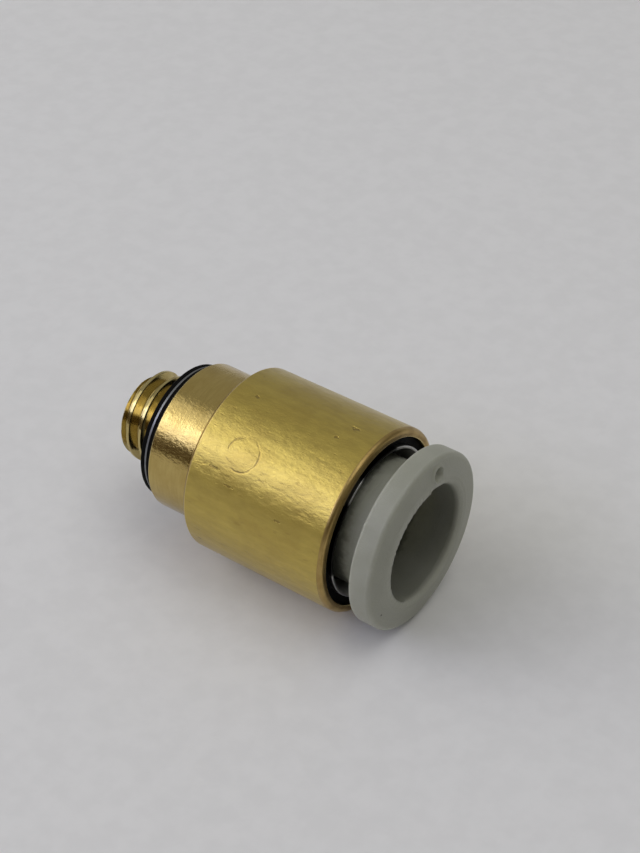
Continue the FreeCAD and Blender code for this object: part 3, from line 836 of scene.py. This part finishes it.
# %% Work out the body's section
DRAWN, TURNED, THREADED, FACED_PAINTED_SHADE = 0, 1, 2, 3
RELIEF_X = SHOULDER_X - RELIEF_LENGTH
COUNTERSINK_R = 2 * KEY_HALF_FLATS / math.sqrt(3) + KEY_COUNTERSINK / 2
KEY_END_X = TUBE_STOP_X - KEY_DEPTH
TIP_R = STUD_R - STUD_CHAMFER
FRONT_ROUND = 0.25
BARREL_CHAMFER = 0.2
SEAT_LEAD_IN = 0.1
body_corners = [
    corner(RELIEF_X, THREAD_ROOT_R, 0, TURNED),
    corner(SHOULDER_X, THREAD_ROOT_R, 0.04, TURNED),
    corner(SHOULDER_X, SHOULDER_R - SHOULDER_CHAMFER, 0.03, TURNED),
    corner(SHOULDER_X + SHOULDER_CHAMFER, SHOULDER_R, 0.05, TURNED),
    corner(BARREL_X, SHOULDER_R, 0.03, FACED_PAINTED_SHADE),
    corner(BARREL_X, BARREL_R - BARREL_CHAMFER, 0.05, FACED_PAINTED_SHADE),
    corner(BARREL_X + BARREL_CHAMFER, BARREL_R, 0.10, DRAWN),
    corner(MOUTH_X - FRONT_ROUND - 0.02, BARREL_R, 0, FACED_PAINTED_SHADE),
    corner(MOUTH_X, BARREL_R, FRONT_ROUND, FACED_PAINTED_SHADE),
    corner(MOUTH_X, MOUTH_R, 0.05, TURNED),
    corner(COLLAR_SEAT_X, MOUTH_R, 0, TURNED),
    corner(COLLAR_SEAT_X, GUIDE_BORE_R, 0, TURNED),
    corner(CHUCK_X, GUIDE_BORE_R, 0, TURNED),
    corner(CHUCK_X, SEAL_BORE_R, 0.02, TURNED),
    corner(SEAL_SEAT_X, SEAL_BORE_R, 0, TURNED),
    corner(SEAL_SEAT_X, TUBE_SEAT_R + SEAT_LEAD_IN, 0.02, TURNED),
    corner(SEAL_SEAT_X - SEAT_LEAD_IN, TUBE_SEAT_R, 0.02, TURNED),
    corner(TUBE_STOP_X, TUBE_SEAT_R, 0.05, TURNED),
    corner(TUBE_STOP_X, COUNTERSINK_R, 0, TURNED, 8),
    corner(TUBE_STOP_X - KEY_COUNTERSINK, COUNTERSINK_R - KEY_COUNTERSINK, 0, TURNED),
    corner(TUBE_STOP_X - KEY_COUNTERSINK, KEY_HALF_FLATS, 0, TURNED, 6),
    corner(KEY_END_X, KEY_HALF_FLATS, 0, TURNED),
    corner(KEY_END_X, FLOW_R, 0.03, TURNED),
    corner(STUD_TIP_X, FLOW_R, 0.06, THREADED),
    corner(STUD_TIP_X, TIP_R, 0, THREADED),
]
body_rows, body_edges, body_finishes = section(body_corners, closed=False)


def hexagon(angle):
    """Radius of the key socket at an angle, with corners at every sixth of a turn from +Y."""
    return KEY_HALF_FLATS / np.cos(np.mod(angle, math.pi / 3) - math.pi / 6)


angles = around(COLUMNS)
body_x = np.repeat(body_rows[:, :1], COLUMNS, 1)
body_r = np.repeat(body_rows[:, 1:], COLUMNS, 1)
beside_key = (body_x < TUBE_STOP_X + 1e-6) & (body_x > KEY_END_X - 1e-6) & (body_r > KEY_HALF_FLATS - 1e-6)
body_r = np.where(beside_key, np.maximum(body_r, hexagon(angles)), body_r)
print("body section:", len(body_rows), "rows, key socket", 2 * KEY_HALF_FLATS, "mm across flats")

# %% [markdown]
# The thread is the one place where the surface isn't the same all the way round. Its rows follow the helix: row j
# at an angle lies j steps along, plus one pitch for every full turn. The radius is that of the plain stud, or of
# the groove where that is less. Where a row would run past either end of the stud it is held at the end, and the
# points that then fall together are merged. The tip's flat end takes the radius of the thread's first row, so the
# groove runs out through its rim.
#
# The groove is a V of 60 degrees with a narrow flat root. Its corners are softened by a smooth minimum and maximum,
# because a real thread has no knife edges and the soft corners carry the fine bright lines.

# %% Work out the thread
STEPS_PER_PITCH = 48
CREST_SOFTNESS = 0.012
ROOT_SOFTNESS = 0.02


def soft_max(a, b, softness):
    """The larger of two values, with the crossing rounded off over the softness."""
    near = np.clip(0.5 + 0.5 * (a - b) / softness, 0, 1)
    return b * (1 - near) + a * near + softness * near * (1 - near)


def soft_min(a, b, softness):
    """The smaller of two values, with the crossing rounded off over the softness."""
    return -soft_max(-a, -b, softness)


def plain_stud(x):
    """Radius of the stud without its thread: a chamfer at the tip and a slope into the relief."""
    return np.minimum(np.minimum(STUD_R, TIP_R + (x - STUD_TIP_X)), THREAD_ROOT_R + (RELIEF_X - x))


def groove(offset):
    """Radius of the thread at a distance along the axis from the middle of the groove."""
    flank = THREAD_ROOT_R + (np.abs(offset) - THREAD_ROOT_FLAT / 2) / math.tan(THREAD_FLANK)
    return soft_min(soft_max(flank, THREAD_ROOT_R, ROOT_SOFTNESS), STUD_R, CREST_SOFTNESS)


thread_angles = np.arange(COLUMNS + 1) * (2 * math.pi / COLUMNS)
turns = (thread_angles - math.pi / 2) / (2 * math.pi)
step = THREAD_PITCH / STEPS_PER_PITCH
first_crest_x = STUD_TIP_X + FIRST_CREST
row_numbers = np.arange(-3 * STEPS_PER_PITCH, 5 * STEPS_PER_PITCH)[:, None]
unheld_x = first_crest_x + row_numbers * step + turns[None] * THREAD_PITCH
thread_x = np.clip(unheld_x, STUD_TIP_X, RELIEF_X)
inside = (unheld_x.max(1) > STUD_TIP_X) & (unheld_x.min(1) < RELIEF_X)
first, last = np.flatnonzero(inside)[[0, -1]]
thread_x = thread_x[max(first - 1, 0):last + 2]
crest_phase = (thread_x - first_crest_x) / THREAD_PITCH - turns[None]
from_groove = (crest_phase - np.floor(crest_phase) - 0.5) * THREAD_PITCH
thread_r = np.minimum(plain_stud(thread_x), groove(from_groove))
print(f"thread: {thread_x.shape[0]} rows, radius {thread_r.min():.3f} to {thread_r.max():.3f} mm")

# %% Make the body
thread_points = surface_points(thread_x, thread_r, thread_angles[None])
thread_columns = COLUMNS + 1
thread_faces = grid_faces(thread_x.shape[0], thread_columns, False)
thread_faces = thread_faces.reshape(thread_x.shape[0] - 1, thread_columns, 4)[:, :-1].reshape(-1, 4)
body_r[-1] = thread_r[0, :-1]
outer_points = surface_points(body_x, body_r, angles[None])
outer_faces = grid_faces(len(body_rows), COLUMNS, False)
body_points = np.vstack([outer_points, thread_points])
body_faces = np.vstack([outer_faces, thread_faces + len(outer_points)])
face_finishes = np.concatenate([np.repeat(body_finishes[:-1], COLUMNS), np.full(len(thread_faces), THREADED)])
point_edges = np.concatenate([np.repeat(body_edges, COLUMNS), np.zeros(len(thread_points))])
piece("brass_body", body_points, body_faces, face_finishes, point_edges,
      [drawn_brass, turned_brass, thread_brass, faced_brass_painted_shade], "housing", "brass", "body")

# %% [markdown]
# ## Gasket
#
# Two rings of black rubber with a thin steel washer between them. The rubber is moulded, so its edges are soft. The
# washer is set in a little from the rubber, and its rim shows as a fine bright line.

# %% Make the gasket
RUBBER_BORE_R = 2.56
WASHER_BORE_R = 2.2


def gasket_ring(name, node_name, bore, inset, rounding, material, slot):
    """One flat ring of the gasket, as thick as its node, with its rim set in a little from the node's."""
    start, end, radius = extent(node_name)
    radius = radius - inset
    corners = [corner(start, bore, 0.02), corner(start, radius, rounding), corner(end, radius, rounding),
               corner(end, bore, 0.02)]
    lathe(name, corners, material, slot, node_name)


gasket_ring("outer_gasket_rubber", "gasket_outer_rubber", RUBBER_BORE_R, 0.01, 0.04, gasket_rubber, "black_rubber")
gasket_ring("gasket_steel_washer", "gasket_washer", WASHER_BORE_R, 0.05, 0.015, washer_steel, "washer_steel")
gasket_ring("inner_gasket_rubber", "gasket_inner_rubber", RUBBER_BORE_R, 0.0, 0.06, gasket_rubber, "black_rubber")

# %% [markdown]
# ## Inside the tube port
#
# Looking in past the button there are, from the bottom, the lip seal, a washer, a cone that centres the tube, and
# the stamped chuck with its ten claws. They are seen only at a slant and in shadow, but the object would be a plain
# pipe without them. The claws keep their CAD meshes, which already have the right flat, hollow-tipped shape.

# %% Make the seal, the washer, the cone and the chuck's ring
SEAL_LIP_R = 2.93
LIP_GROOVE_X = SEAL_SEAT_X + 1.0
BACKUP_BORE_R = 3.2
CONE_BORE_R = 3.15
CONE_MOUTH_R = 3.55
CHUCK_BORE_R = 3.8
lathe("lip_seal", [
    corner(SEAL_X, SEAL_BORE_R - 0.27, 0.05),
    corner(SEAL_X, SEAL_BORE_R, 0.05),
    corner(SEAL_END_X, SEAL_BORE_R, 0.05),
    corner(SEAL_END_X, SEAL_LIP_R + 0.37, 0.06),
    corner(LIP_GROOVE_X + 0.05, SEAL_LIP_R, 0.12),
    corner(SEAL_SEAT_X + 0.75, SEAL_LIP_R, 0.12),
    corner(SEAL_SEAT_X + 0.45, SEAL_LIP_R + 0.19, 0.04),
    corner(LIP_GROOVE_X, SEAL_LIP_R + 0.52, 0.08),
    corner(LIP_GROOVE_X, SEAL_BORE_R - 0.42, 0.08),
], gasket_rubber, "black_rubber", "tube_seal")
lathe("seal_backup_washer", [
    corner(BACKUP_X, BACKUP_BORE_R),
    corner(BACKUP_X, SEAL_BORE_R),
    corner(CONE_X, SEAL_BORE_R),
    corner(CONE_X, BACKUP_BORE_R, 0.05),
], washer_steel, "washer_steel", "backup_washer")
lathe("tube_centring_cone", [
    corner(CONE_X, CONE_BORE_R, 0.02),
    corner(CONE_X, SEAL_BORE_R),
    corner(CONE_END_X, SEAL_BORE_R),
    corner(CONE_END_X, CONE_MOUTH_R, 0.03),
], collar_plastic_and_shade, "black_plastic", "centring_cone")
lathe("chuck_clamp_ring", [
    corner(CHUCK_X, CHUCK_BORE_R),
    corner(CHUCK_X, GUIDE_BORE_R),
    corner(GUIDE_X, GUIDE_BORE_R),
    corner(GUIDE_X, CHUCK_BORE_R, 0.05),
], spring_steel, "spring_steel", "chuck_ring")

# %% Give the claws their steel
claws = [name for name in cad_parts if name.startswith("claw_")]
for name in claws:
    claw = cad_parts[name]
    claw.data.materials.clear()
    claw.data.materials.append(spring_steel)
print(len(claws), "claws in", spring_steel.name)

# %% [markdown]
# ## Guide and collar
#
# The guide is a thin steel sleeve. Only its lip shows, a bright ring inside the mouth. The black collar between the
# lip and the brass is set back a little, so it always lies in shadow, and its near-black colour paints that shade
# deeper.

# %% Make the guide and the collar
GUIDE_STEP = 0.3
THROAT_LEAD_IN = 0.15
lathe("steel_guide", [
    corner(GUIDE_X, CHAMBER_R),
    corner(GUIDE_X, GUIDE_BORE_R),
    corner(GUIDE_X + GUIDE_STEP, GUIDE_BORE_R),
    corner(GUIDE_X + GUIDE_STEP, GUIDE_R, 0.02),
    corner(MOUTH_X, GUIDE_R, 0.05),
    corner(MOUTH_X, GUIDE_LIP_R, 0.04),
    corner(THROAT_X + THROAT_LEAD_IN, THROAT_R, 0.05),
    corner(THROAT_X, THROAT_R, 0.04),
    corner(THROAT_X, CHAMBER_R, 0.03),
], guide_steel, "guide_steel", "guide_sleeve")
lathe("black_collar", [
    corner(COLLAR_X, GUIDE_R, 0),
    corner(COLLAR_X, GUIDE_BORE_R, 0),
    corner(COLLAR_SEAT_X, GUIDE_BORE_R, 0),
    corner(COLLAR_SEAT_X, MOUTH_R, 0),
    corner(COLLAR_FRONT_X, MOUTH_R, 0.04),
    corner(COLLAR_FRONT_X, GUIDE_R, 0.04),
], collar_plastic_and_shade, "black_plastic", "guide_collar")

# %% [markdown]
# ## The release button
#
# A moulded ring: a flange to press with two fingers, a neck that slides in the guide, a bead that keeps it from
# falling out, and a nose that spreads the claws. Four slots split the nose into legs, so that the bead can be
# pushed through the guide's throat. The face is crowned: it falls back a little from the bore to the rim, as
# moulded faces do.
#
# The slots could be cut with Boolean modifiers. Here they come from the grid itself. Inside a slot the rows of the
# nose are all pulled up to the slot's end, and each side of a slot has two columns at the same angle: one with
# the leg's section and one with the slot's. The faces between those two columns are the slot's flat wall.

# %% Work out the button's grid
BUTTON_COLUMNS = 432
FACE_CROWN = 0.2
LEG_SLOTS = 4
NOSE_TIP_R = 3.25
NOSE_TAPER = 0.4
BEAD_LENGTH = 0.4
BEAD_SLOPE = 0.3
button_corners = [
    corner(NOSE_X, BUTTON_BORE_R, 0.05),
    corner(NOSE_X, NOSE_TIP_R, 0.06),
    corner(NOSE_X + NOSE_TAPER, NECK_R, 0.1),
    corner(BEAD_X - BEAD_LENGTH - BEAD_SLOPE, NECK_R, 0.08),
    corner(BEAD_X - BEAD_LENGTH, BEAD_R, 0.06),
    corner(BEAD_X, BEAD_R, 0.05),
    corner(BEAD_X, NECK_R, 0),
    corner(FLANGE_X, NECK_R, 0.45),
    corner(FLANGE_X, FLANGE_R, 0.15),
    corner(FACE_X - FACE_CROWN, FLANGE_R, 0.25, 0, 20),
    corner(FACE_X, BUTTON_BORE_R + BORE_LEAD_IN + 0.2, 0.2, 0, 2),
    corner(FACE_X, BUTTON_BORE_R, BORE_LEAD_IN),
]
button_rows, button_edges, _ = section(button_corners)

slot_middles = math.pi / 4 + np.arange(LEG_SLOTS) * (2 * math.pi / LEG_SLOTS)
slot_half_angle = math.asin(LEG_SLOT_HALF_WIDTH / ((BUTTON_BORE_R + NECK_R) / 2))
plain_angles = around(BUTTON_COLUMNS)
from_slot = np.abs(np.angle(np.exp(1j * (plain_angles[:, None] - slot_middles[None])))).min(1)
clear_of_walls = np.abs(from_slot - slot_half_angle) > math.radians(0.3)
wall_angles = np.concatenate([slot_middles - slot_half_angle, slot_middles + slot_half_angle])
inside_first = np.concatenate([np.zeros(LEG_SLOTS), np.ones(LEG_SLOTS)])
button_angles = np.concatenate([plain_angles[clear_of_walls], wall_angles, wall_angles])
in_slot = np.concatenate([from_slot[clear_of_walls] < slot_half_angle, inside_first, 1 - inside_first]).astype(bool)
tie_break = np.concatenate([np.zeros(clear_of_walls.sum()), np.zeros(2 * LEG_SLOTS), np.ones(2 * LEG_SLOTS)])
order = np.lexsort((tie_break, np.round(np.mod(button_angles, 2 * math.pi), 9)))
button_angles, in_slot = button_angles[order], in_slot[order]
print("button:", len(button_rows), "rows and", len(button_angles), "columns,", int(in_slot.sum()), "of them in slots")

# %% [markdown]
# The face carries what is left of the moulding: a small round dimple where the gate was, beside the bore, and a
# scrap of flash that flattens the bore's edge there. Thinner, ragged flash runs on round nearly half of that edge,
# where the lead-in is filled up to the face. All are made in the grid, as shifts of x and r that depend on where a
# point lies on the face. A tiny burr stands on the flange's back edge.

# %% Make the button
GATE_R = 3.97
GATE_ANGLE = math.radians(77.3)
GATE_HALF_WIDTH = 0.32
GATE_DEPTH = 0.30
GATE_RIM = 0.11
SCRAP_FLAT_R = 3.22
SCRAP_ANGLE = math.radians(73)
SCRAP_HALF_ARC = math.radians(20)
FLASH_ANGLE = math.radians(160)
FLASH_HALF_ARC = math.radians(85)
BURR_ANGLE = math.radians(138)
BURR_HEIGHT = 0.05

column_angles = button_angles[None]
in_nose = in_slot[None] & (button_rows[:, :1] < THROAT_X)
on_outside = button_rows[:, 1:] > BUTTON_BORE_R + 0.03
button_x = np.where(in_nose, THROAT_X, button_rows[:, :1])
button_r = np.where(in_nose, np.where(on_outside, NECK_R, BUTTON_BORE_R), button_rows[:, 1:])

face_y = button_r * np.cos(column_angles) - GATE_R * math.cos(GATE_ANGLE)
face_z = button_r * np.sin(column_angles) - GATE_R * math.sin(GATE_ANGLE)
from_gate = np.hypot(face_y, face_z) / GATE_HALF_WIDTH
on_face = button_x > FACE_X - 0.2
button_x = button_x - on_face * GATE_DEPTH * np.exp(-from_gate ** 4)
button_x = button_x + on_face * GATE_RIM * np.exp(-((from_gate - 1.3) / 0.25) ** 2)

scrap_r = SCRAP_FLAT_R / np.cos(np.clip(column_angles - SCRAP_ANGLE, -1, 1))
in_scrap = (np.abs(column_angles - SCRAP_ANGLE) < SCRAP_HALF_ARC) & (button_r > scrap_r)
in_lead = (button_r < BUTTON_BORE_R + BORE_LEAD_IN + 0.01) & (button_x > FACE_X - BORE_LEAD_IN)
button_x = np.where(in_lead & in_scrap, np.maximum(button_x, FACE_X - 0.02), button_x)

flash_share = np.clip((FLASH_HALF_ARC - np.abs(column_angles - FLASH_ANGLE)) / 0.2, 0, 1)
ragged = 0.5 + 0.25 * np.sin(43 * column_angles) + 0.25 * np.sin(71 * column_angles + 1.3)
flash_x = FACE_X - 0.02 + 0.03 * ragged
button_x = button_x + in_lead * flash_share * np.maximum(flash_x - button_x, 0)

on_back_edge = np.exp(-((button_x - FLANGE_X) / 0.15) ** 2) * (button_r > FLANGE_R - 0.2)
button_r = button_r + BURR_HEIGHT * on_back_edge * np.exp(-((column_angles - BURR_ANGLE) / 0.02) ** 2)

button_points = surface_points(button_x, button_r, column_angles)
button_faces = grid_faces(len(button_rows), len(button_angles), True)
piece("grey_release_button", button_points, button_faces, np.zeros(len(button_faces)),
      np.repeat(button_edges, len(button_angles)), [grey_acetal], "button", "grey_plastic", "release_button")
